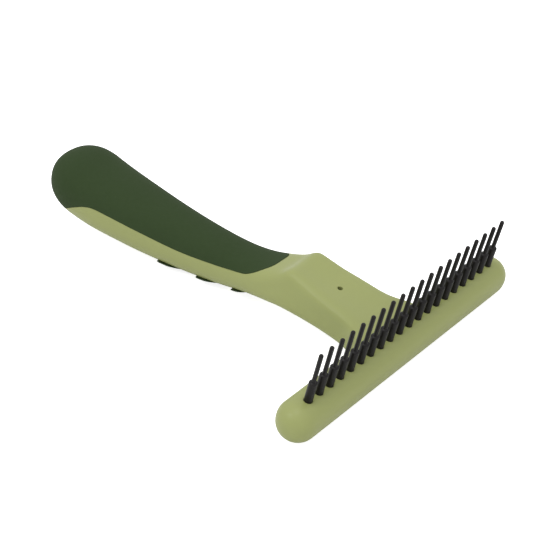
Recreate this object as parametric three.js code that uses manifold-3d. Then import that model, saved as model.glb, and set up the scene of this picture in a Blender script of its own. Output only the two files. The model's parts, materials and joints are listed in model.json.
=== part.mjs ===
// Undercoat rake for a dog: a light green moulded body lying on its back, with one row of
// stepped pins on the head, a dark rubber grip over the handle and three finger pads below it.
// Millimetres. The origin is the middle of the flat back of the head, +Y runs from the head to
// the butt of the handle, +X runs along the row of pins and +Z is up.

import * as THREE from 'three';
import { mergeVertices, toCreasedNormals } from 'three/addons/utils/BufferGeometryUtils.js';
import Module from 'manifold-3d';

const wasm = await Module();
wasm.setup();

// Driving dimensions. Inside the tool, z = 0 is the foot of the pins and the pins stand along +Z.
const layAngle = THREE.MathUtils.degToRad(14);

const pinCount = 20;
const pinPitch = 4.5;
const pinReach = 16.2;
const collarRadius = 1.22;
const collarHeight = 6.2;
const needleRadius = 0.64;
const flangeRadius = 1.85;
const flangeThickness = 1.2;
const pinSides = 16;

const headHalfLength = 51.1;
const headHalfWidth = 5.9;
const headDepth = 11.7;
const headFace = -0.5;
const crownHeight = 5.4;
const headBackFillet = 5.65;
const backFlatHalfWidth = 3.1;

const faceWall = 3.4;
const channelHalfWidth = 2.1;
const rebateHalfWidth = 2.75;
const rebateDepth = 2.1;
const channelEndMargin = 2.4;

const gap = 0.3;
const pinPlay = 0.1;

const hangHoleRadius = 0.85;
const hangHoleY = 22.2;

const buttStart = 115.4;
const buttLength = 14.35;
const handleSoftness = 2.3;

const gripThickness = 1.8;

const padThickness = 1.5;
const padSunk = -0.2;
const padProud = 0.78;
const padSwell = 0.62;
const padRoundEnd = 0.16;
const padCorner = 0.8;
const padWrap = 0.75;
const pads = [
  { name: 'finger_pad_1', from: 47.9, to: 54.0 },
  { name: 'finger_pad_2', from: 58.7, to: 67.2 },
  { name: 'finger_pad_3', from: 72.2, to: 81.8 },
];

// Sizes that follow from them.
const headAxisReach = headHalfLength - headHalfWidth;
const backArcCentre = headFace - headDepth + headBackFillet;
const backArcAngle = Math.acos((backFlatHalfWidth - headHalfWidth + headBackFillet) / headBackFillet);
const headBack = backArcCentre - headBackFillet * Math.sin(backArcAngle);
const channelFloor = headFace - faceWall;
const flangeTop = channelFloor - pinPlay;
const channelHalfLength = (pinCount - 1) / 2 * pinPitch + channelEndMargin;
const rebateHalfLength = channelHalfLength + rebateHalfWidth - channelHalfWidth;

// A length that takes any cut clear of the tool.
const clear = 40;

// A smooth curve through a few [y, value] knots, without overshoot between them.
function curveThrough(knots) {
  const slopes = knots.map((knot, i) => {
    if (i === 0 || i === knots.length - 1) {
      return 0;
    }
    const before = (knot[1] - knots[i - 1][1]) / (knot[0] - knots[i - 1][0]);
    const after = (knots[i + 1][1] - knot[1]) / (knots[i + 1][0] - knot[0]);
    return before * after <= 0 ? 0 : 2 * before * after / (before + after);
  });
  slopes[0] = (knots[1][1] - knots[0][1]) / (knots[1][0] - knots[0][0]);
  return (y) => {
    const last = knots.length - 2;
    const found = knots.findIndex((knot, i) => i <= last && y <= knots[i + 1][0]);
    const i = found < 0 ? last : found;
    const width = knots[i + 1][0] - knots[i][0];
    const t = THREE.MathUtils.clamp((y - knots[i][0]) / width, 0, 1);
    const rise = 3 * t * t - 2 * t * t * t;
    return knots[i][1] * (1 - rise) + knots[i + 1][1] * rise
      + width * (slopes[i] * t * (1 - t) * (1 - t) - slopes[i + 1] * t * t * (1 - t));
  };
}

// The neck and handle in side view and in plan, from the head (y = 0) to the butt.
const topLine = curveThrough([
  [0, -1.3], [12, -1.2], [25, -1.2], [35.2, -0.7], [36.4, -1.35], [38.8, -3.65], [42, -5.45],
  [48, -8.15], [58, -10.8], [76, -13.4], [95, -15.0], [112, -15.9], [130, -15.1],
]);
const bottomLine = curveThrough([
  [0, -9.8], [12, -11.9], [27, -13.2], [35, -14.4], [42, -17.4], [58, -24.8], [76, -30.2], [95, -34.0],
  [112, -35.7], [130, -35.0],
]);
const halfWidth = curveThrough([
  [0, 13.8], [6, 13.0], [9, 11.2], [13, 9.8], [20, 9.3], [34, 8.8], [42, 8.65], [58, 7.93], [76, 8.86],
  [95, 10.5], [112, 12.0], [130, 12.6],
]);
const taper = curveThrough([[0, 0], [18, 0], [35.6, 0.12], [50, 0], [130, 0]]);

// How square the section's upper and lower halves are, and how deep the thumb rest dips in it.
const topSoftness = curveThrough([
  [0, 6], [25, 6], [35, 7], [42, 3.4], [52, handleSoftness], [130, handleSoftness],
]);
const bottomSoftness = curveThrough([
  [0, 5], [34, 5], [42, 3.2], [52, handleSoftness], [130, handleSoftness],
]);
const thumbDish = curveThrough([[0, 0], [4, 0], [13, 0.6], [34, 0.75], [38, 0.3], [42, 0], [130, 0]]);

// Height of the grip's edge over the centre line: it rises to the nose and drops round the butt.
const gripLine = curveThrough([
  [36, 12], [41.9, 7.6], [42.4, 6.2], [42.9, 5.9], [43.6, 5.66], [45.2, 4.97], [47, 4.03], [50, 3.0],
  [56, 2.75], [60, 2.5], [75, 1.97], [90, 2.27], [104, 2.39], [106.4, 2.2], [109, 1.35], [112, -0.5],
  [116, -3.9], [119, -7.5], [121.5, -18],
]);

function centreLine(y) {
  return (topLine(y) + bottomLine(y)) / 2;
}

function halfDepth(y) {
  return (topLine(y) - bottomLine(y)) / 2;
}

// Closed skin over rings of points that all turn counter-clockwise about the way they advance.
function skin(rings) {
  const count = rings[0].length;
  const middles = [rings[0], rings.at(-1)].map((ring) => {
    const sum = ring.reduce((total, point) => total.add(point), new THREE.Vector3());
    return sum.divideScalar(count);
  });
  const points = [...rings.flat(), ...middles];
  const index = [];
  for (let i = 0; i < rings.length - 1; i += 1) {
    for (let j = 0; j < count; j += 1) {
      const a = i * count + j;
      const b = i * count + (j + 1) % count;
      index.push(a, b, b + count, a, b + count, a + count);
    }
  }
  const lastRing = (rings.length - 1) * count;
  for (let j = 0; j < count; j += 1) {
    const next = (j + 1) % count;
    index.push(points.length - 2, next, j);
    index.push(points.length - 1, lastRing + j, lastRing + next);
  }
  const geometry = new THREE.BufferGeometry().setFromPoints(points);
  geometry.setIndex(index);
  return geometry;
}

function toSolid(geometry) {
  const bare = geometry.clone();
  bare.deleteAttribute('normal');
  bare.deleteAttribute('uv');
  const merged = mergeVertices(bare, 1e-5);
  return new wasm.Manifold(new wasm.Mesh({
    numProp: 3,
    vertProperties: new Float32Array(merged.attributes.position.array),
    triVerts: new Uint32Array(merged.index.array),
  }));
}

function toGeometry(solid) {
  const mesh = solid.getMesh();
  const geometry = new THREE.BufferGeometry();
  geometry.setAttribute('position', new THREE.BufferAttribute(mesh.vertProperties, 3));
  geometry.setIndex(new THREE.BufferAttribute(mesh.triVerts, 1));
  return toCreasedNormals(geometry, THREE.MathUtils.degToRad(35));
}

// One cross-section of the neck and handle at y, shrunk by inset, and by scale at the butt.
function section(y, inset, scale) {
  const sides = 40;
  const dishShare = 0.9;
  const width = (halfWidth(y) - inset) * scale;
  const height = (halfDepth(y) - inset) * scale;
  const ring = [];
  for (let i = 0; i < sides; i += 1) {
    const angle = i / sides * 2 * Math.PI;
    const sine = Math.sin(angle);
    const cosine = Math.cos(angle);
    const power = cosine > 0 ? topSoftness(y) : bottomSoftness(y);
    const reach = (Math.abs(sine) ** power + Math.abs(cosine) ** power) ** (-1 / power);
    const across = reach * sine * (1 - taper(y) * reach * cosine);
    const inside = Math.max(0, 1 - (across / dishShare) ** 2);
    const dip = cosine > 0 ? thumbDish(y) * inside ** 2 : 0;
    ring.push(new THREE.Vector3(across * width, y, centreLine(y) + reach * cosine * height - dip));
  }
  return ring;
}

// Spacing of the sections along the tool: closest over the ridge of the thumb rest.
function sectionStep(y) {
  const ridgeStart = 32;
  const ridgeEnd = 44;
  const neckEnd = 50;
  if (y >= neckEnd) {
    return 5;
  }
  return y >= ridgeStart && y < ridgeEnd ? 1 : 2;
}

// The neck and handle as one solid, with its whole surface moved in by inset.
function handleSolid(inset) {
  const start = -2;
  const rings = [];
  for (let y = start; y < buttStart; y += sectionStep(y)) {
    rings.push(section(y, inset, 1));
  }
  const capSteps = 9;
  for (let i = 0; i < capSteps; i += 1) {
    const angle = i / (capSteps - 0.6) * Math.PI / 2;
    const along = Math.sin(angle);
    const scale = (1 - along ** handleSoftness) ** (1 / handleSoftness);
    rings.push(section(buttStart + (buttLength - inset) * along, inset, scale));
  }
  return toSolid(skin(rings));
}

// A flat bar with round ends, seen from above, at one level.
function stadiumRing(halfStraight, radius, z) {
  const steps = 12;
  const ring = [];
  for (const side of [1, -1]) {
    for (let i = 0; i <= steps; i += 1) {
      const angle = (i / steps - 0.5) * Math.PI + (side < 0 ? Math.PI : 0);
      const x = side * halfStraight + radius * Math.cos(angle);
      ring.push(new THREE.Vector3(x, radius * Math.sin(angle), z));
    }
  }
  return ring;
}

function stadiumSolid(halfLength, radius, low, high) {
  const straight = halfLength - radius;
  return toSolid(skin([stadiumRing(straight, radius, low), stadiumRing(straight, radius, high)]));
}

function cylinder(radius, low, high, sides) {
  const geometry = new THREE.CylinderGeometry(radius, radius, high - low, sides);
  geometry.rotateX(Math.PI / 2);
  geometry.translate(0, 0, (low + high) / 2);
  return toSolid(geometry);
}

function pinPlaces() {
  return Array.from({ length: pinCount }, (unused, i) => (i - (pinCount - 1) / 2) * pinPitch);
}

// The head: a bar with round ends, a domed crown below the pins and a flat back.
function headBar() {
  const steps = 8;
  const crownEnd = THREE.MathUtils.degToRad(84);
  const rings = [];
  for (let i = 0; i <= steps; i += 1) {
    const angle = backArcAngle * (1 - i / steps);
    const radius = headHalfWidth - headBackFillet + headBackFillet * Math.cos(angle);
    rings.push(stadiumRing(headAxisReach, radius, backArcCentre - headBackFillet * Math.sin(angle)));
  }
  for (let i = 0; i <= steps; i += 1) {
    const angle = i / steps * crownEnd;
    const z = headFace - crownHeight + crownHeight * Math.sin(angle);
    rings.push(stadiumRing(headAxisReach, headHalfWidth * Math.cos(angle), z));
  }
  return toSolid(skin(rings));
}

// The space of the grip, above a line along the handle's sides. grow moves the line outwards.
function gripSpace(grow) {
  const side = new THREE.Shape();
  const first = 36;
  const noseEnd = 51;
  const buttTurn = 103;
  const last = 121;
  side.moveTo(last + clear, clear);
  side.lineTo(first - grow, clear);
  for (let y = first; y <= last; y += y < noseEnd || y >= buttTurn ? 1 : 4) {
    side.lineTo(y - grow, centreLine(y) + gripLine(y) - grow);
  }
  side.lineTo(last + clear, centreLine(last) - clear);
  return extrudeAlongX(side, clear);
}

// A side-view outline, drawn as (y, z), given a width across the tool.
function extrudeAlongX(shape, width) {
  const geometry = new THREE.ExtrudeGeometry(shape, { depth: width, bevelEnabled: false, curveSegments: 4 });
  geometry.translate(0, 0, -width / 2);
  geometry.applyMatrix4(new THREE.Matrix4().makeBasis(
    new THREE.Vector3(0, 1, 0), new THREE.Vector3(0, 0, 1), new THREE.Vector3(1, 0, 0),
  ));
  return toSolid(geometry);
}

function grip() {
  return handleSolid(0).subtract(handleSolid(gripThickness)).intersect(gripSpace(0));
}

// The space of one finger pad: a bar across the underside of the handle that ends part way up
// its sides, with rounded corners in side view.
function padSpace(pad, grow) {
  const from = pad.from - grow;
  const to = pad.to + grow;
  const corner = padCorner + grow;
  const side = new THREE.Shape();
  side.moveTo(from, padTop(from) - clear);
  side.lineTo(to, padTop(to) - clear);
  side.lineTo(to, padTop(to) + grow - corner);
  side.quadraticCurveTo(to, padTop(to) + grow, to - corner, padTop(to - corner) + grow);
  side.lineTo(from + corner, padTop(from + corner) + grow);
  side.quadraticCurveTo(from, padTop(from) + grow, from, padTop(from) + grow - corner);
  return extrudeAlongX(side, clear);
}

function padTop(y) {
  return centreLine(y) - padWrap * halfDepth(y);
}

// How far a pad stands out of the handle: it swells from the head side and ends in a round step.
function padHeight(along) {
  const swellPower = 1.5;
  const lift = padProud - padSunk;
  const left = 1 - THREE.MathUtils.clamp(along / padSwell, 0, 1);
  const past = THREE.MathUtils.clamp((along - 1 + padRoundEnd) / padRoundEnd, 0, 1);
  return padSunk + lift * (Math.sqrt(1 - past * past) - left ** swellPower);
}

function fingerPad(pad) {
  const alongs = [-0.1, 0, 0.15, 0.3, 0.45, padSwell, 1 - padRoundEnd, 0.9, 0.95, 0.985, 1, 1.1];
  const rings = alongs.map((along) => {
    const y = THREE.MathUtils.lerp(pad.from, pad.to, along);
    return section(y, -padHeight(along), 1);
  });
  return toSolid(skin(rings)).subtract(handleSolid(padThickness)).intersect(padSpace(pad, 0));
}

// The body: head, neck and handle core in one moulding, with the pockets for everything else.
function body() {
  let solid = headBar().add(handleSolid(0));
  solid = solid.subtract(gripSpace(gap).subtract(handleSolid(gripThickness + gap)));
  for (const pad of pads) {
    solid = solid.subtract(padSpace(pad, gap).subtract(handleSolid(padThickness + gap)));
  }
  const below = 2 * headBack;
  solid = solid.subtract(stadiumSolid(channelHalfLength, channelHalfWidth, below, channelFloor));
  solid = solid.subtract(stadiumSolid(
    rebateHalfLength, rebateHalfWidth, below, headBack + rebateDepth,
  ));
  const boreRadius = (collarRadius + pinPlay) / Math.cos(Math.PI / pinSides);
  for (const x of pinPlaces()) {
    const bore = cylinder(boreRadius, channelFloor - 1, collarHeight, pinSides);
    solid = solid.subtract(bore.translate([x, 0, 0]));
  }
  return solid.subtract(cylinder(hangHoleRadius, -clear, clear, pinSides).translate([0, hangHoleY, 0]));
}

// The cover closes the back of the head, and its rib keeps the pin flanges in the channel.
function backCover() {
  const plate = stadiumSolid(
    rebateHalfLength - gap, rebateHalfWidth - gap, headBack, headBack + rebateDepth - gap,
  );
  const ribTop = flangeTop - flangeThickness - pinPlay;
  return plate.add(stadiumSolid(channelHalfLength - gap, channelHalfWidth - gap, headBack + 1, ribTop));
}

// A pin: captive flange and shank inside the head, thick collar outside it, thin round-tipped needle.
function pinGeometry() {
  const chamfer = 0.25;
  const tipSteps = 3;
  const profile = [
    new THREE.Vector2(0, flangeTop - flangeThickness),
    new THREE.Vector2(flangeRadius, flangeTop - flangeThickness),
    new THREE.Vector2(flangeRadius, flangeTop),
    new THREE.Vector2(collarRadius, flangeTop),
    new THREE.Vector2(collarRadius, collarHeight - chamfer),
    new THREE.Vector2(collarRadius - chamfer, collarHeight),
    new THREE.Vector2(needleRadius, collarHeight),
  ];
  for (let i = 0; i < tipSteps; i += 1) {
    const angle = i / tipSteps * Math.PI / 2;
    profile.push(new THREE.Vector2(
      needleRadius * Math.cos(angle), pinReach - needleRadius + needleRadius * Math.sin(angle),
    ));
  }
  profile.push(new THREE.Vector2(0, pinReach));
  return new THREE.LatheGeometry(profile, pinSides).rotateX(Math.PI / 2);
}

// Finishes, as seen in daylight.
function finish(color, roughness, metalness) {
  return new THREE.MeshStandardMaterial({ color, roughness, metalness });
}

const greenPlastic = () => finish(0xa2a972, 0.55, 0);
const darkRubber = () => finish(0x3e4c34, 0.85, 0);
const blackCoatedSteel = () => finish(0x242224, 0.4, 0.3);

function addMesh(parent, name, geometry, material) {
  const mesh = new THREE.Mesh(geometry, material);
  mesh.name = name;
  parent.add(mesh);
  return mesh;
}

function buildTool() {
  const tool = new THREE.Group();
  tool.rotation.x = layAngle;
  tool.position.set(0, headBack * Math.sin(layAngle), -headBack * Math.cos(layAngle));
  addMesh(tool, 'body', toGeometry(body()), greenPlastic());
  addMesh(tool, 'head_back_cover', toGeometry(backCover()), greenPlastic());
  addMesh(tool, 'grip', toGeometry(grip()), darkRubber());
  for (const pad of pads) {
    addMesh(tool, pad.name, toGeometry(fingerPad(pad)), darkRubber());
  }
  pinPlaces().forEach((x, i) => {
    const name = `pin_${String(i + 1).padStart(2, '0')}`;
    addMesh(tool, name, pinGeometry(), blackCoatedSteel()).position.x = x;
  });
  const object = new THREE.Group();
  object.add(tool);
  return object;
}

export default buildTool();
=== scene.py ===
"""The looks of an undercoat rake: a light green moulded body, a dark rubber grip, three finger pads
and a row of black pins that turn. Each visible piece is built in millimetres in the tool's own frame
(the pins' joints in a row along X at y = z = 0, the pins along +Z, the handle towards +Y) and then
carried to the CAD's frame, which is tilted and in metres."""

import json
import math

import bmesh
import bpy
import numpy as np
from mathutils import Matrix, Vector


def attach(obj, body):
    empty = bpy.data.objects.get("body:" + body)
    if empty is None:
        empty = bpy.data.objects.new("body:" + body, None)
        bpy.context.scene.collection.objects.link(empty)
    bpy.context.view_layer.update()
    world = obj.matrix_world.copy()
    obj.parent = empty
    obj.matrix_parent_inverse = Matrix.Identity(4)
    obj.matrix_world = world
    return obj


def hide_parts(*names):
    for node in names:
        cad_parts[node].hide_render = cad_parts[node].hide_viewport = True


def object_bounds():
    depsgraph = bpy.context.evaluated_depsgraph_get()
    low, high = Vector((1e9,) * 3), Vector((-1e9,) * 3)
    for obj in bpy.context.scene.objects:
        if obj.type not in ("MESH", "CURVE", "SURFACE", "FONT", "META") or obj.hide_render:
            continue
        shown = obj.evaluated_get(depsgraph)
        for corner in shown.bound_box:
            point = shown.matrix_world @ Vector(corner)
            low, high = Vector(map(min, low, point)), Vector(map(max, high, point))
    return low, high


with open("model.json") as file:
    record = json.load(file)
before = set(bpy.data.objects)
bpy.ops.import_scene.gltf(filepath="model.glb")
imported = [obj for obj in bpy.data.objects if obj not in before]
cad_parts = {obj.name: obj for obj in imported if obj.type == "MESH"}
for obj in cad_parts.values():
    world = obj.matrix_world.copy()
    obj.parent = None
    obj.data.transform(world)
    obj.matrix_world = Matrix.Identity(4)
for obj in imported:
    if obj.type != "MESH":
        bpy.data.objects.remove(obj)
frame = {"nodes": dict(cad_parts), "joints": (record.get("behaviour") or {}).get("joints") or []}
cad_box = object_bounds()

MM = 0.001
MAIN_BODY = "tool"

# Fineness of the surfaces: lengths in millimetres (SOFT_EDGE in metres), the angle in degrees.
BODY_VOXEL = 0.36
BODY_SMOOTHING = 7
PAD_VOXEL = 0.15
PAD_SMOOTHING = 4
RING_POINTS = 144
RING_STEP = 0.8
PAD_RING_STEP = 0.1
GRIP_LINE_STEP = 0.25
ROUND_END_POINTS = 48
BORE_SIDES = 40
PIN_SIDES = 32
SLIVER = 0.005
SHARP_ANGLE = 35
SOFT_EDGE = 0.2 * MM

# A length that takes any cut clear of the tool, and the gap between neighbouring pieces.
CLEAR = 40
SEAM = 0.06

# Rubber, in millimetres. The pads' swell and round end are shares of their length, and the wrap is
# a share of the handle's half depth.
GRIP_THICKNESS = 1.8
PAD_THICKNESS = 1.5
PAD_CORNER = 0.9
PAD_SUNK = -0.2
PAD_PROUD = 0.78
PAD_SWELL = 0.62
PAD_SWELL_POWER = 1.5
PAD_ROUND_END = 0.16
PAD_WRAP = 0.75

# The head's rounded section, in millimetres.
HEAD_FACE = -0.5
HEAD_DEPTH = 11.7
HEAD_HALF_WIDTH = 5.9
CROWN_HEIGHT = 5.4
BACK_FILLET = 5.65

# Pins, the channel behind them, the cover and the small hole in the neck, in millimetres.
FLANGE_RADIUS = 1.85
FLANGE_THICKNESS = 1.2
COLLAR_RADIUS = 1.22
COLLAR_HEIGHT = 6.2
NEEDLE_RADIUS = 0.64
PIN_PLAY = 0.1
CHANNEL_HALF_WIDTH = 2.1
CHANNEL_INSET = 0.6
COVER_THICKNESS = 1.8
COVER_EDGE = 0.25
RIB_HALF_WIDTH = 1.7
RIB_INSET = 1.0
HOLE_RADIUS = 0.8
HOLE_Y = 22.2

# Side view and plan of the neck and handle: (y, value) knots from the head to the butt. Softness is
# the power of the rounded section: 2 is an ellipse and more is squarer. The taper narrows a section
# at the top and widens it below. The grip line is the rubber's lower edge, above the centre line.
HANDLE_START = -2.0
BUTT_START = 115.4
BUTT_LENGTH = 14.35
HANDLE_SOFTNESS = 2.3
TOP_LINE = [
    (0, -1.3), (12, -1.2), (25, -1.2), (35.2, -0.7), (36.4, -1.35), (38.8, -3.65), (42, -5.45),
    (48, -8.15), (58, -10.8), (76, -13.4), (95, -15.0), (112, -15.9), (130, -15.1),
]
BOTTOM_LINE = [
    (0, -9.8), (12, -11.9), (27, -13.2), (35, -14.4), (42, -17.4), (58, -24.8), (76, -30.2),
    (95, -34.0), (112, -35.7), (130, -35.0),
]
HALF_WIDTH = [
    (0, 13.8), (6, 13.0), (9, 11.2), (13, 9.8), (20, 9.3), (34, 8.8), (42, 8.65), (58, 7.93),
    (76, 8.86), (95, 10.5), (112, 12.0), (130, 12.6),
]
TOP_SOFTNESS = [(0, 6), (25, 6), (35, 7), (42, 3.4), (52, HANDLE_SOFTNESS), (130, HANDLE_SOFTNESS)]
BOTTOM_SOFTNESS = [(0, 5), (34, 5), (42, 3.2), (52, HANDLE_SOFTNESS), (130, HANDLE_SOFTNESS)]
THUMB_DISH = [(0, 0), (4, 0), (13, 0.6), (34, 0.75), (38, 0.3), (42, 0), (130, 0)]
DISH_SHARE = 0.9
TAPER = [(0, 0), (18, 0), (35.6, 0.12), (50, 0), (130, 0)]
GRIP_LINE = [
    (36, 12), (41.9, 7.6), (42.4, 6.2), (42.9, 5.9), (43.6, 5.66), (45.2, 4.97), (47, 4.03),
    (50, 3.0), (56, 2.75), (60, 2.5), (75, 1.97), (90, 2.27), (104, 2.39), (106.4, 2.2),
    (109, 1.35), (112, -0.5), (116, -3.9), (119, -7.5), (121.5, -18),
]

# Camera, floor and lights: angles in degrees, lengths in metres but the lens in millimetres, powers
# in watts. A softbox has a name, a place from the middle of the tool, a power and a side.
CAMERA_AZIMUTH = -50.85
CAMERA_ELEVATION = 32.05
CAMERA_DISTANCE = 465.2 * MM
CAMERA_RIGHT = 11.71 * MM
CAMERA_UP = -6.52 * MM
CAMERA_LENS = 105.72
FLOOR_REACH = 6.0
FLOOR_GAP = 0.1 * MM
FLOOR_COLOR = (0.87, 0.87, 0.87)
FLOOR_GLOW = 0.78
DOME_AXIS = (-0.15, 0.05, 0.99)
DOME_BRIGHT = 1.25
DOME_DARK = 0.3
SOFTBOXES = [
    ("overhead", (-0.2, -0.1, 1.0), 1.15, 0.3),
    ("crease", (-0.63, 0.22, 0.74), 1.0, 0.12),
]


# ---------------------------------------------------------------- frame and measures

def tool_to_cad():
    """The transform from millimetres in the tool's own frame to metres in the CAD's frame."""
    joints = frame["joints"]
    first = Vector(joints[0]["pos_m"])
    last = Vector(joints[-1]["pos_m"])
    across = (last - first).normalized()
    up = Vector(joints[0]["axis"]).normalized()
    along = up.cross(across)
    turn = Matrix((across, along, up)).transposed().to_4x4()
    return Matrix.Translation((first + last) / 2) @ turn @ Matrix.Scale(MM, 4)


TOOL = tool_to_cad()


def tool_points(node):
    """The vertices of a CAD node, in millimetres in the tool's own frame."""
    back = TOOL.inverted()
    return np.array([back @ v.co for v in frame["nodes"][node].data.vertices])


def tool_box(node):
    points = tool_points(node)
    return points.min(axis=0), points.max(axis=0)


def pin_nodes():
    return sorted(node for node in frame["nodes"] if node.startswith("pin_"))


def pin_x(node):
    low, high = tool_box(node)
    return (low[0] + high[0]) / 2


def pad_ends():
    """The lowest and highest y of each finger pad, from its CAD node."""
    ends = {}
    for node in sorted(frame["nodes"]):
        if node.startswith("finger_pad"):
            low, high = tool_box(node)
            ends[node] = (low[1], high[1])
    return ends


def smooth_curve(knots, blur):
    """A smooth function through (y, value) knots that doesn't overshoot, softened over blur mm."""
    knots = np.array(knots, float)
    y, v = knots.T
    secant = np.diff(v) / np.diff(y)
    slope = np.zeros(len(y))
    slope[0] = secant[0]
    same = secant[:-1] * secant[1:] > 0
    total = np.where(same, secant[:-1] + secant[1:], 1)
    slope[1:-1] = np.where(same, 2 * secant[:-1] * secant[1:] / total, 0)
    step = 0.1
    grid = np.arange(y[0] - 10, y[-1] + 10, step)
    i = np.clip(np.searchsorted(y, grid) - 1, 0, len(y) - 2)
    width = y[i + 1] - y[i]
    t = np.clip((grid - y[i]) / width, 0, 1)
    rise = 3 * t ** 2 - 2 * t ** 3
    value = v[i] * (1 - rise) + v[i + 1] * rise
    value += width * (slope[i] * t * (1 - t) ** 2 - slope[i + 1] * t ** 2 * (1 - t))
    window = 40
    offset = np.arange(-window, window + 1) * step
    kernel = np.exp(-((offset / blur) ** 2) / 2)
    value = np.convolve(np.pad(value, window, mode="edge"), kernel / kernel.sum(), mode="valid")
    return lambda q: np.interp(q, grid, value)


top_line = smooth_curve(TOP_LINE, 0.6)
bottom_line = smooth_curve(BOTTOM_LINE, 2.5)
half_width = smooth_curve(HALF_WIDTH, 1.5)
top_softness = smooth_curve(TOP_SOFTNESS, 1.0)
bottom_softness = smooth_curve(BOTTOM_SOFTNESS, 2.0)
thumb_dish = smooth_curve(THUMB_DISH, 1.0)
taper = smooth_curve(TAPER, 2.0)
grip_line = smooth_curve(GRIP_LINE, 0.3)


def centre_line(y):
    return (top_line(y) + bottom_line(y)) / 2


def half_depth(y):
    return (top_line(y) - bottom_line(y)) / 2


# ---------------------------------------------------------------- mesh helpers

def mesh_object(name, points, faces):
    mesh = bpy.data.meshes.new(name)
    mesh.from_pydata([tuple(p) for p in points], [], faces)
    mesh.update()
    obj = bpy.data.objects.new(name, mesh)
    bpy.context.scene.collection.objects.link(obj)
    return obj


def skin(name, rings):
    """A closed surface over rings of equal length that turn counter-clockwise about their advance."""
    rings = np.array(rings)
    count = rings.shape[1]
    points = np.concatenate([rings.reshape(-1, 3), [rings[0].mean(axis=0)], [rings[-1].mean(axis=0)]])
    first_pole = len(points) - 2
    last_pole = len(points) - 1
    faces = []
    for i in range(len(rings) - 1):
        for j in range(count):
            a = i * count + j
            b = i * count + (j + 1) % count
            faces.append((a, b, b + count, a + count))
    last_ring = (len(rings) - 1) * count
    for j in range(count):
        following = (j + 1) % count
        faces.append((first_pole, following, j))
        faces.append((last_pole, last_ring + j, last_ring + following))
    return mesh_object(name, points, faces)


def lathe(name, profile, sides, centre):
    """A turned solid about Z from (radius, z) points that run upwards; its ends are closed."""
    angles = np.arange(sides) * 2 * math.pi / sides
    rings = []
    for radius, z in profile:
        rings.append(np.stack([
            centre[0] + radius * np.cos(angles),
            centre[1] + radius * np.sin(angles),
            np.full(sides, z),
        ], axis=1))
    return skin(name, rings)


def stadium(half_length, radius, z):
    """A round-ended bar's outline at height z, along X."""
    turn = np.linspace(-math.pi / 2, math.pi / 2, ROUND_END_POINTS)
    x = half_length - radius + radius * np.cos(turn)
    right = np.stack([x, radius * np.sin(turn), np.full(ROUND_END_POINTS, z)], axis=1)
    left = right * (-1, -1, 1)
    return np.concatenate([right, left])


def side_prism(name, outline, half_wide):
    """A closed block with a (y, z) outline, from -half_wide to half_wide across the tool."""
    outline = np.array(outline)
    rings = [np.column_stack([np.full(len(outline), x), outline]) for x in (-half_wide, half_wide)]
    faces = []
    count = len(outline)
    for j in range(count):
        following = (j + 1) % count
        faces.append((j, following, following + count, j + count))
    faces.append(tuple(range(count - 1, -1, -1)))
    faces.append(tuple(range(count, 2 * count)))
    return mesh_object(name, np.concatenate(rings), faces)


def apply_modifiers(obj):
    """Makes the result of the modifiers the object's own mesh."""
    graph = bpy.context.evaluated_depsgraph_get()
    mesh = bpy.data.meshes.new_from_object(obj.evaluated_get(graph))
    obj.modifiers.clear()
    old = obj.data
    obj.data = mesh
    bpy.data.meshes.remove(old)


def boolean(obj, tool, operation, keep=False):
    """Cuts, joins or intersects obj with tool, which goes afterwards unless it is kept."""
    modifier = obj.modifiers.new("cut", "BOOLEAN")
    modifier.object = tool
    modifier.operation = operation
    modifier.solver = "MANIFOLD"
    apply_modifiers(obj)
    if not keep:
        bpy.data.objects.remove(tool)


def remesh(obj, voxel, smoothing):
    """One even skin over everything in obj, with its joins rounded off."""
    modifier = obj.modifiers.new("skin", "REMESH")
    modifier.mode = "VOXEL"
    modifier.voxel_size = voxel
    modifier = obj.modifiers.new("soften", "SMOOTH")
    modifier.factor = 0.5
    modifier.iterations = smoothing
    apply_modifiers(obj)


def join(objects):
    """Moves every mesh into the first one."""
    mesh = bmesh.new()
    for obj in objects:
        mesh.from_mesh(obj.data)
    mesh.to_mesh(objects[0].data)
    mesh.free()
    for obj in objects[1:]:
        bpy.data.objects.remove(obj)
    return objects[0]


def drop_slivers(obj):
    """Merges points closer than SLIVER and dissolves empty faces and points between only two faces."""
    mesh = bmesh.new()
    mesh.from_mesh(obj.data)
    bmesh.ops.remove_doubles(mesh, verts=mesh.verts, dist=SLIVER)
    bmesh.ops.dissolve_degenerate(mesh, edges=mesh.edges, dist=SLIVER)
    spare = [v for v in mesh.verts if len(v.link_edges) == 2]
    bmesh.ops.dissolve_verts(mesh, verts=spare)
    mesh.to_mesh(obj.data)
    mesh.free()


def finish_piece(obj, name, body, node, material):
    """Carries a piece to the CAD's frame, shades it, puts it on its body and hides the CAD node that it
    stands for.
    """
    drop_slivers(obj)
    obj.name = name
    obj.data.transform(TOOL)
    for polygon in obj.data.polygons:
        polygon.use_smooth = True
    obj.data.set_sharp_from_angle(angle=math.radians(SHARP_ANGLE))
    obj.data.materials.clear()
    obj.data.materials.append(material)
    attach(obj, body)
    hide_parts(node)


# ---------------------------------------------------------------- shapes

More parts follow.
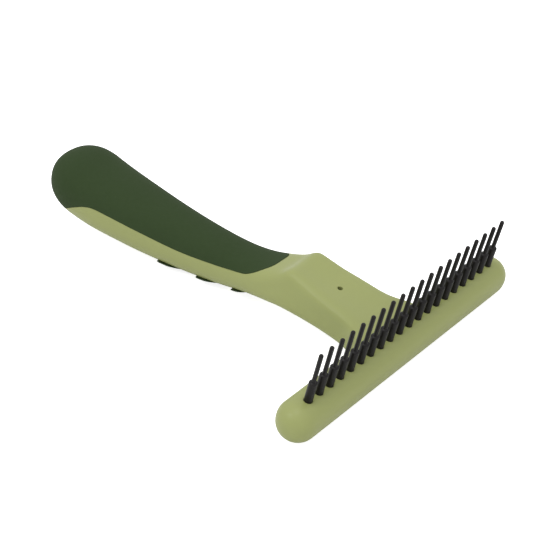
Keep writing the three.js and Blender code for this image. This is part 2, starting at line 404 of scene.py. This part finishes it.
def section(y, inset, scale=1.0):
    """One rounded cross-section of the neck and handle, dished on top where the thumb rests."""
    angle = np.arange(RING_POINTS) * 2 * math.pi / RING_POINTS
    width = (half_width(y) - inset) * scale
    depth = (half_depth(y) - inset) * scale
    power = np.where(np.cos(angle) > 0, top_softness(y), bottom_softness(y))
    sideways = np.abs(np.sin(angle) / width) ** power
    upward = np.abs(np.cos(angle) / depth) ** power
    reach = (sideways + upward) ** (-1 / power)
    up = reach * np.cos(angle)
    across = reach * np.sin(angle) * (1 - taper(y) * up / depth)
    inside = np.clip(1 - (across / (DISH_SHARE * width)) ** 2, 0, 1)
    up = up - np.where(up > 0, thumb_dish(y) * inside ** 2, 0)
    return np.column_stack([across, np.full(RING_POINTS, y), centre_line(y) + up])


def handle(name, inset=0.0):
    """The neck and handle with a rounded butt, and the whole surface moved in by inset."""
    rings = [section(y, inset) for y in np.arange(HANDLE_START, BUTT_START, RING_STEP)]
    for angle in np.radians(np.append(np.arange(0, 88, 3), 89)):
        along = math.sin(angle)
        scale = (1 - along ** HANDLE_SOFTNESS) ** (1 / HANDLE_SOFTNESS)
        rings.append(section(BUTT_START + (BUTT_LENGTH - inset) * along, inset, scale))
    return skin(name, rings)


def head_bar():
    """The round-ended bar: a domed face towards the pins and a filleted back cut off flat."""
    half_length = tool_box("body")[1][0]
    back_flat = tool_box("head_back_cover")[0][2]
    back_centre = HEAD_FACE - HEAD_DEPTH + BACK_FILLET
    crown_centre = HEAD_FACE - CROWN_HEIGHT
    flat_angle = math.asin((back_centre - back_flat) / BACK_FILLET)
    rings = []
    for angle in np.linspace(flat_angle, 0, 24):
        radius = HEAD_HALF_WIDTH - BACK_FILLET * (1 - math.cos(angle))
        rings.append(head_ring(half_length, radius, back_centre - BACK_FILLET * math.sin(angle)))
    for angle in np.radians(np.append(np.arange(0, 87, 3), 89)):
        radius = HEAD_HALF_WIDTH * math.cos(angle)
        rings.append(head_ring(half_length, radius, crown_centre + CROWN_HEIGHT * math.sin(angle)))
    return skin("head_bar", rings)


def head_ring(half_length, radius, z):
    return stadium(half_length - HEAD_HALF_WIDTH + radius, radius, z)


def grip_space(name, grow):
    """A block above the line along the handle's sides where the rubber ends."""
    start = GRIP_LINE[0][0]
    end = GRIP_LINE[-1][0]
    y = np.arange(start, end + GRIP_LINE_STEP / 2, GRIP_LINE_STEP)
    line = np.column_stack([y - grow, centre_line(y) + grip_line(y) - grow])
    outline = [(end + CLEAR, CLEAR), (start - grow, CLEAR), *line, (end + CLEAR, line[-1][1])]
    return side_prism(name, outline, CLEAR)


def pad_top(y):
    """The height on the handle's sides that the pads wrap up to."""
    return centre_line(y) - PAD_WRAP * half_depth(y)


def pad_space(name, low, high, grow):
    """A block across the underside of the handle, with rounded upper corners in side view."""
    corner = PAD_CORNER + grow
    low = low - grow
    high = high + grow
    turn = np.linspace(0, math.pi / 2, 9)
    outline = [(low, pad_top(low) - CLEAR), (high, pad_top(high) - CLEAR)]
    for angle in turn:
        y = high - corner + corner * math.cos(angle)
        outline.append((y, pad_top(y) + grow - corner + corner * math.sin(angle)))
    for angle in turn[::-1]:
        y = low + corner - corner * math.cos(angle)
        outline.append((y, pad_top(y) + grow - corner + corner * math.sin(angle)))
    return side_prism(name, outline, CLEAR)


def build_body(material):
    """Head, neck and handle in one skin, with pockets for the grip and the pads."""
    body = join([head_bar(), handle("neck_and_handle")])
    remesh(body, BODY_VOXEL, BODY_SMOOTHING)
    pocket = grip_space("grip_pocket", SEAM)
    boolean(pocket, handle("pocket_floor", GRIP_THICKNESS + SEAM), "DIFFERENCE")
    boolean(body, pocket, "DIFFERENCE")
    floor = handle("pad_floor", PAD_THICKNESS + SEAM)
    for node, (low, high) in pad_ends().items():
        pocket = pad_space(node + "_pocket", low, high, SEAM)
        boolean(pocket, floor, "DIFFERENCE", keep=True)
        boolean(body, pocket, "DIFFERENCE")
    bpy.data.objects.remove(floor)
    cut_head(body)
    finish_piece(body, "moulded_body", MAIN_BODY, "body", material)


def cut_head(body):
    """The cover's seat, the channel for the pins' flanges, the bores and the small hole in the neck."""
    cover_low, cover_high = tool_box("head_back_cover")
    back = cover_low[2]
    seat_half_length = cover_high[0] + SEAM
    seat_half_width = cover_high[1] + SEAM
    seat_top = back + COVER_THICKNESS + SEAM
    channel_top = tool_box("pin_01")[0][2] + FLANGE_THICKNESS + PIN_PLAY
    for half_length, radius, top in (
        (seat_half_length, seat_half_width, seat_top),
        (seat_half_length - CHANNEL_INSET, CHANNEL_HALF_WIDTH, channel_top),
    ):
        cutter = skin("channel", [stadium(half_length, radius, z) for z in (back - CLEAR, top)])
        boolean(body, cutter, "DIFFERENCE")
    inside_channel = channel_top - 1
    bore = [(COLLAR_RADIUS + SEAM, inside_channel), (COLLAR_RADIUS + SEAM, CLEAR)]
    for node in pin_nodes():
        boolean(body, lathe("bore", bore, BORE_SIDES, (pin_x(node), 0)), "DIFFERENCE")
    hole = [(HOLE_RADIUS, -CLEAR), (HOLE_RADIUS, CLEAR)]
    boolean(body, lathe("hole", hole, BORE_SIDES, (0, HOLE_Y)), "DIFFERENCE")


def build_grip(material):
    """The rubber sleeve: the handle's own surface above the grip line, hollowed by its thickness."""
    grip = handle("grip_skin")
    boolean(grip, grip_space("grip_block", 0), "INTERSECT")
    boolean(grip, handle("grip_floor", GRIP_THICKNESS), "DIFFERENCE")
    finish_piece(grip, "rubber_grip", MAIN_BODY, "grip", material)


def pad_height(y, low, high):
    """How far a pad stands out of the handle: it swells from the head side and ends in a round step."""
    along = (y - low) / (high - low)
    before_swell = 1 - np.clip(along / PAD_SWELL, 0, 1)
    into_end = np.clip((along - 1 + PAD_ROUND_END) / PAD_ROUND_END, 0, 1)
    share = math.sqrt(1 - into_end ** 2) - before_swell ** PAD_SWELL_POWER
    return PAD_SUNK + (PAD_PROUD - PAD_SUNK) * share


def build_pads(material):
    """Three rubber bars across the underside, each swelling out of the handle's own surface."""
    floor = handle("pad_floor", PAD_THICKNESS)
    margin = 0.5
    for node, (low, high) in pad_ends().items():
        stations = np.arange(low - margin, high + margin, PAD_RING_STEP)
        pad = skin(node + "_skin", [section(y, -pad_height(y, low, high)) for y in stations])
        boolean(pad, pad_space(node + "_block", low, high, 0), "INTERSECT")
        boolean(pad, floor, "DIFFERENCE", keep=True)
        remesh(pad, PAD_VOXEL, PAD_SMOOTHING)
        finish_piece(pad, node + "_rubber", MAIN_BODY, node, material)
    bpy.data.objects.remove(floor)


def build_cover(material):
    """The strip that closes the back of the head, with a rib behind the pins' flanges."""
    low, high = tool_box("head_back_cover")
    plate_top = low[2] + COVER_THICKNESS
    rings = []
    for angle in np.linspace(0, math.pi / 2, 6):
        inset = COVER_EDGE * (1 - math.sin(angle))
        z = low[2] + COVER_EDGE * (1 - math.cos(angle))
        rings.append(stadium(high[0] - inset, high[1] - inset, z))
    rings.append(stadium(high[0], high[1], plate_top))
    cover = skin("cover_plate", rings)
    inside_plate = low[2] + COVER_THICKNESS / 2
    rib_ends = (inside_plate, high[2])
    rib = skin("cover_rib", [stadium(high[0] - RIB_INSET, RIB_HALF_WIDTH, z) for z in rib_ends])
    boolean(cover, rib, "UNION")
    finish_piece(cover, "back_cover", MAIN_BODY, "head_back_cover", material)


def arc(centre_r, centre_z, radius, start, end, steps):
    """Points of an arc in a turned profile, by angle in degrees from +r towards +z."""
    angles = np.radians(np.linspace(start, end, steps))
    return [(centre_r + radius * math.cos(a), centre_z + radius * math.sin(a)) for a in angles]


def pin_profile(foot, tip):
    """A pin's turned outline from foot to tip: flange, shank and collar, and a round-ended needle."""
    round_flange = 0.2
    round_collar = 0.35
    round_root = 0.25
    root_z = COLLAR_HEIGHT + 0.28
    flange = FLANGE_RADIUS - round_flange
    flange_top = foot + FLANGE_THICKNESS
    profile = arc(flange, foot + round_flange, round_flange, -90, 0, 4)
    profile += arc(flange, flange_top - round_flange, round_flange, 0, 90, 4)
    profile += [(COLLAR_RADIUS, flange_top)]
    profile += arc(COLLAR_RADIUS - round_collar, COLLAR_HEIGHT - round_collar, round_collar, 0, 80, 7)
    profile += arc(NEEDLE_RADIUS + round_root, root_z, round_root, 260, 180, 5)
    profile += arc(0, tip - NEEDLE_RADIUS, NEEDLE_RADIUS, 0, 86, 9)
    return profile


def build_pins(material):
    """Twenty turned pins, each riding on its own turning body."""
    for node in pin_nodes():
        low, high = tool_box(node)
        pin = lathe(node + "_skin", pin_profile(low[2], high[2]), PIN_SIDES, (pin_x(node), 0))
        finish_piece(pin, node + "_coated", node + "_turning", node, material)


# ---------------------------------------------------------------- materials

def new_material(name, color, roughness):
    material = bpy.data.materials.new(name)
    material.use_nodes = True
    shader = material.node_tree.nodes["Principled BSDF"]
    shader.inputs["Base Color"].default_value = (*color, 1)
    shader.inputs["Roughness"].default_value = roughness
    return material, material.node_tree, shader


def noise(tree, scale):
    """An even, cloudy noise; the scale is in cells per metre."""
    coordinates = tree.nodes.new("ShaderNodeTexCoord")
    texture = tree.nodes.new("ShaderNodeTexNoise")
    texture.inputs["Scale"].default_value = scale
    texture.inputs["Detail"].default_value = 3.0
    tree.links.new(coordinates.outputs["Object"], texture.inputs["Vector"])
    return texture.outputs["Fac"]


def vary(tree, shader, socket, fac, low, high):
    """Spreads a value socket, or the base colour, from low to high with a mask, and returns the mix
    node's low input and its result, so that two masks can follow each other."""
    is_color = socket == "Base Color"
    mix = tree.nodes.new("ShaderNodeMix")
    mix.data_type = "RGBA" if is_color else "FLOAT"
    # A mix node keeps its number sockets first and its colour sockets after them.
    low_input = mix.inputs[6 if is_color else 2]
    high_input = mix.inputs[7 if is_color else 3]
    result = mix.outputs[2 if is_color else 0]
    low_input.default_value = (*low, 1) if is_color else low
    high_input.default_value = (*high, 1) if is_color else high
    tree.links.new(fac, mix.inputs[0])
    tree.links.new(result, shader.inputs[socket])
    return low_input, result


def bump(tree, shader, fac, strength, distance):
    """A fine relief, distance metres deep at full strength, on top of softly rounded edges."""
    bevel = tree.nodes.new("ShaderNodeBevel")
    bevel.inputs["Radius"].default_value = SOFT_EDGE
    node = tree.nodes.new("ShaderNodeBump")
    tree.links.new(bevel.outputs["Normal"], node.inputs["Normal"])
    node.inputs["Strength"].default_value = strength
    node.inputs["Distance"].default_value = distance
    tree.links.new(fac, node.inputs["Height"])
    tree.links.new(node.outputs["Normal"], shader.inputs["Normal"])


def edges(tree, low, high):
    """A mask of the edges that stand out: 0 up to pointiness low, 1 from high."""
    geometry = tree.nodes.new("ShaderNodeNewGeometry")
    ramp = tree.nodes.new("ShaderNodeMapRange")
    ramp.inputs["From Min"].default_value = low
    ramp.inputs["From Max"].default_value = high
    tree.links.new(geometry.outputs["Pointiness"], ramp.inputs["Value"])
    return ramp.outputs["Result"]


def scratches(tree, stretch, scale, share):
    """A mask of thin, sparse streaks, squeezed along each axis by stretch."""
    softness = 0.06
    coordinates = tree.nodes.new("ShaderNodeTexCoord")
    mapping = tree.nodes.new("ShaderNodeMapping")
    mapping.inputs["Scale"].default_value = stretch
    texture = tree.nodes.new("ShaderNodeTexNoise")
    texture.inputs["Scale"].default_value = scale
    texture.inputs["Detail"].default_value = 4.0
    ramp = tree.nodes.new("ShaderNodeMapRange")
    ramp.inputs["From Min"].default_value = 1 - share
    ramp.inputs["From Max"].default_value = 1 - share + softness
    tree.links.new(coordinates.outputs["Object"], mapping.inputs["Vector"])
    tree.links.new(mapping.outputs["Vector"], texture.inputs["Vector"])
    tree.links.new(texture.outputs["Fac"], ramp.inputs["Value"])
    return ramp.outputs["Result"]


def shade(color, factor):
    return tuple(c * factor for c in color)


def green_plastic():
    """Moulded plastic: satin grain, faint flow marks and a few fine scuffs along the tool."""
    color = (0.28, 0.306, 0.111)
    material, tree, shader = new_material("light_green_plastic", color, 0.35)
    shader.inputs["Specular IOR Level"].default_value = 0.3
    vary(tree, shader, "Base Color", noise(tree, 60), shade(color, 0.97), shade(color, 1.03))
    _, grain = vary(tree, shader, "Roughness", noise(tree, 400), 0.3, 0.4)
    unscuffed, _ = vary(tree, shader, "Roughness", scratches(tree, (8, 1, 1), 500, 0.38), 0.3, 0.5)
    tree.links.new(grain, unscuffed)
    bump(tree, shader, noise(tree, 2200), 0.25, 0.00004)
    return material


def dark_rubber():
    """Soft-touch rubber: matt, slightly mottled, and a little paler where hands rub its edges."""
    color = (0.0245, 0.044, 0.0132)
    material, tree, shader = new_material("dark_green_rubber", color, 0.75)
    shader.inputs["Specular IOR Level"].default_value = 0.2
    _, mottled = vary(tree, shader, "Base Color", noise(tree, 90), shade(color, 0.94), shade(color, 1.06))
    unrubbed, _ = vary(tree, shader, "Base Color", edges(tree, 0.53, 0.62), color, shade(color, 1.25))
    tree.links.new(mottled, unrubbed)
    vary(tree, shader, "Roughness", noise(tree, 700), 0.7, 0.85)
    bump(tree, shader, noise(tree, 3000), 0.4, 0.00005)
    return material


def coated_steel():
    """Black coated steel, with fine rings from polishing and paler, rubbed collar edges and tips."""
    color = (0.005, 0.004, 0.004)
    material, tree, shader = new_material("black_coated_steel", color, 0.38)
    shader.inputs["Specular IOR Level"].default_value = 0.25
    vary(tree, shader, "Base Color", edges(tree, 0.53, 0.6), color, shade(color, 3))
    vary(tree, shader, "Roughness", noise(tree, 900), 0.32, 0.48)
    bump(tree, shader, scratches(tree, (1, 1, 6), 700, 0.5), 0.3, 0.00002)
    return material


# ---------------------------------------------------------------- stage

def build_camera():
    """A long lens from the front left, aimed a little beside the middle of the tool."""
    low, high = cad_box
    azimuth = math.radians(CAMERA_AZIMUTH)
    elevation = math.radians(CAMERA_ELEVATION)
    back = Vector((
        math.sin(azimuth) * math.cos(elevation),
        -math.cos(azimuth) * math.cos(elevation),
        math.sin(elevation),
    ))
    turn = back.to_track_quat("Z", "Y")
    data = bpy.data.cameras.new("camera")
    data.lens = CAMERA_LENS
    data.clip_start = 0.01
    data.clip_end = 50
    camera = bpy.data.objects.new("camera", data)
    bpy.context.scene.collection.objects.link(camera)
    aim = (low + high) / 2 + turn @ Vector((CAMERA_RIGHT, CAMERA_UP, 0))
    camera.rotation_mode = "QUATERNION"
    camera.rotation_quaternion = turn
    camera.location = aim + back * CAMERA_DISTANCE
    bpy.context.scene.camera = camera


def build_floor():
    """A very large pale sheet that glows a little for the camera, so that shadows on it stay faint."""
    low, high = cad_box
    centre = (low + high) / 2
    corners = [
        (centre.x + x * FLOOR_REACH, centre.y + y * FLOOR_REACH, low.z - FLOOR_GAP)
        for x, y in ((-1, -1), (1, -1), (1, 1), (-1, 1))
    ]
    floor = mesh_object("floor", corners, [(0, 1, 2, 3)])
    material, tree, shader = new_material("pale_floor", FLOOR_COLOR, 0.95)
    shader.inputs["Specular IOR Level"].default_value = 0.0
    shader.inputs["Emission Color"].default_value = (1, 1, 1, 1)
    path = tree.nodes.new("ShaderNodeLightPath")
    glow = tree.nodes.new("ShaderNodeMath")
    glow.operation = "MULTIPLY"
    glow.inputs[1].default_value = FLOOR_GLOW
    tree.links.new(path.outputs["Is Camera Ray"], glow.inputs[0])
    tree.links.new(glow.outputs[0], shader.inputs["Emission Strength"])
    floor.data.materials.append(material)


def build_world():
    """A soft studio dome, brightest overhead; the camera itself sees plain white."""
    world = bpy.data.worlds.new("studio")
    world.use_nodes = True
    tree = world.node_tree
    background = tree.nodes["Background"]
    background.inputs["Color"].default_value = (1, 1, 1, 1)
    coordinates = tree.nodes.new("ShaderNodeTexCoord")
    facing = tree.nodes.new("ShaderNodeVectorMath")
    facing.operation = "DOT_PRODUCT"
    facing.inputs[1].default_value = DOME_AXIS
    ramp = tree.nodes.new("ShaderNodeMapRange")
    ramp.inputs["From Min"].default_value = -1.0
    ramp.inputs["From Max"].default_value = 1.0
    ramp.inputs["To Min"].default_value = DOME_DARK
    ramp.inputs["To Max"].default_value = DOME_BRIGHT
    path = tree.nodes.new("ShaderNodeLightPath")
    pick = tree.nodes.new("ShaderNodeMix")
    pick.data_type = "FLOAT"
    pick.inputs[3].default_value = 1.0
    tree.links.new(coordinates.outputs["Generated"], facing.inputs[0])
    tree.links.new(facing.outputs["Value"], ramp.inputs["Value"])
    tree.links.new(path.outputs["Is Camera Ray"], pick.inputs[0])
    tree.links.new(ramp.outputs["Result"], pick.inputs[2])
    tree.links.new(pick.outputs[0], background.inputs["Strength"])
    bpy.context.scene.world = world


def build_lights():
    """Square softboxes that face the middle of the tool."""
    low, high = cad_box
    centre = (low + high) / 2
    for name, place, energy, side in SOFTBOXES:
        data = bpy.data.lights.new(name, "AREA")
        data.energy = energy
        data.size = side
        light = bpy.data.objects.new(name, data)
        light.location = centre + Vector(place)
        light.rotation_mode = "QUATERNION"
        light.rotation_quaternion = Vector(place).to_track_quat("Z", "Y")
        bpy.context.scene.collection.objects.link(light)


plastic = green_plastic()
rubber = dark_rubber()
steel = coated_steel()
build_body(plastic)
build_cover(plastic)
build_grip(rubber)
build_pads(rubber)
build_pins(steel)
build_camera()
build_floor()
build_world()
build_lights()
bpy.context.scene.view_settings.view_transform = "Standard"
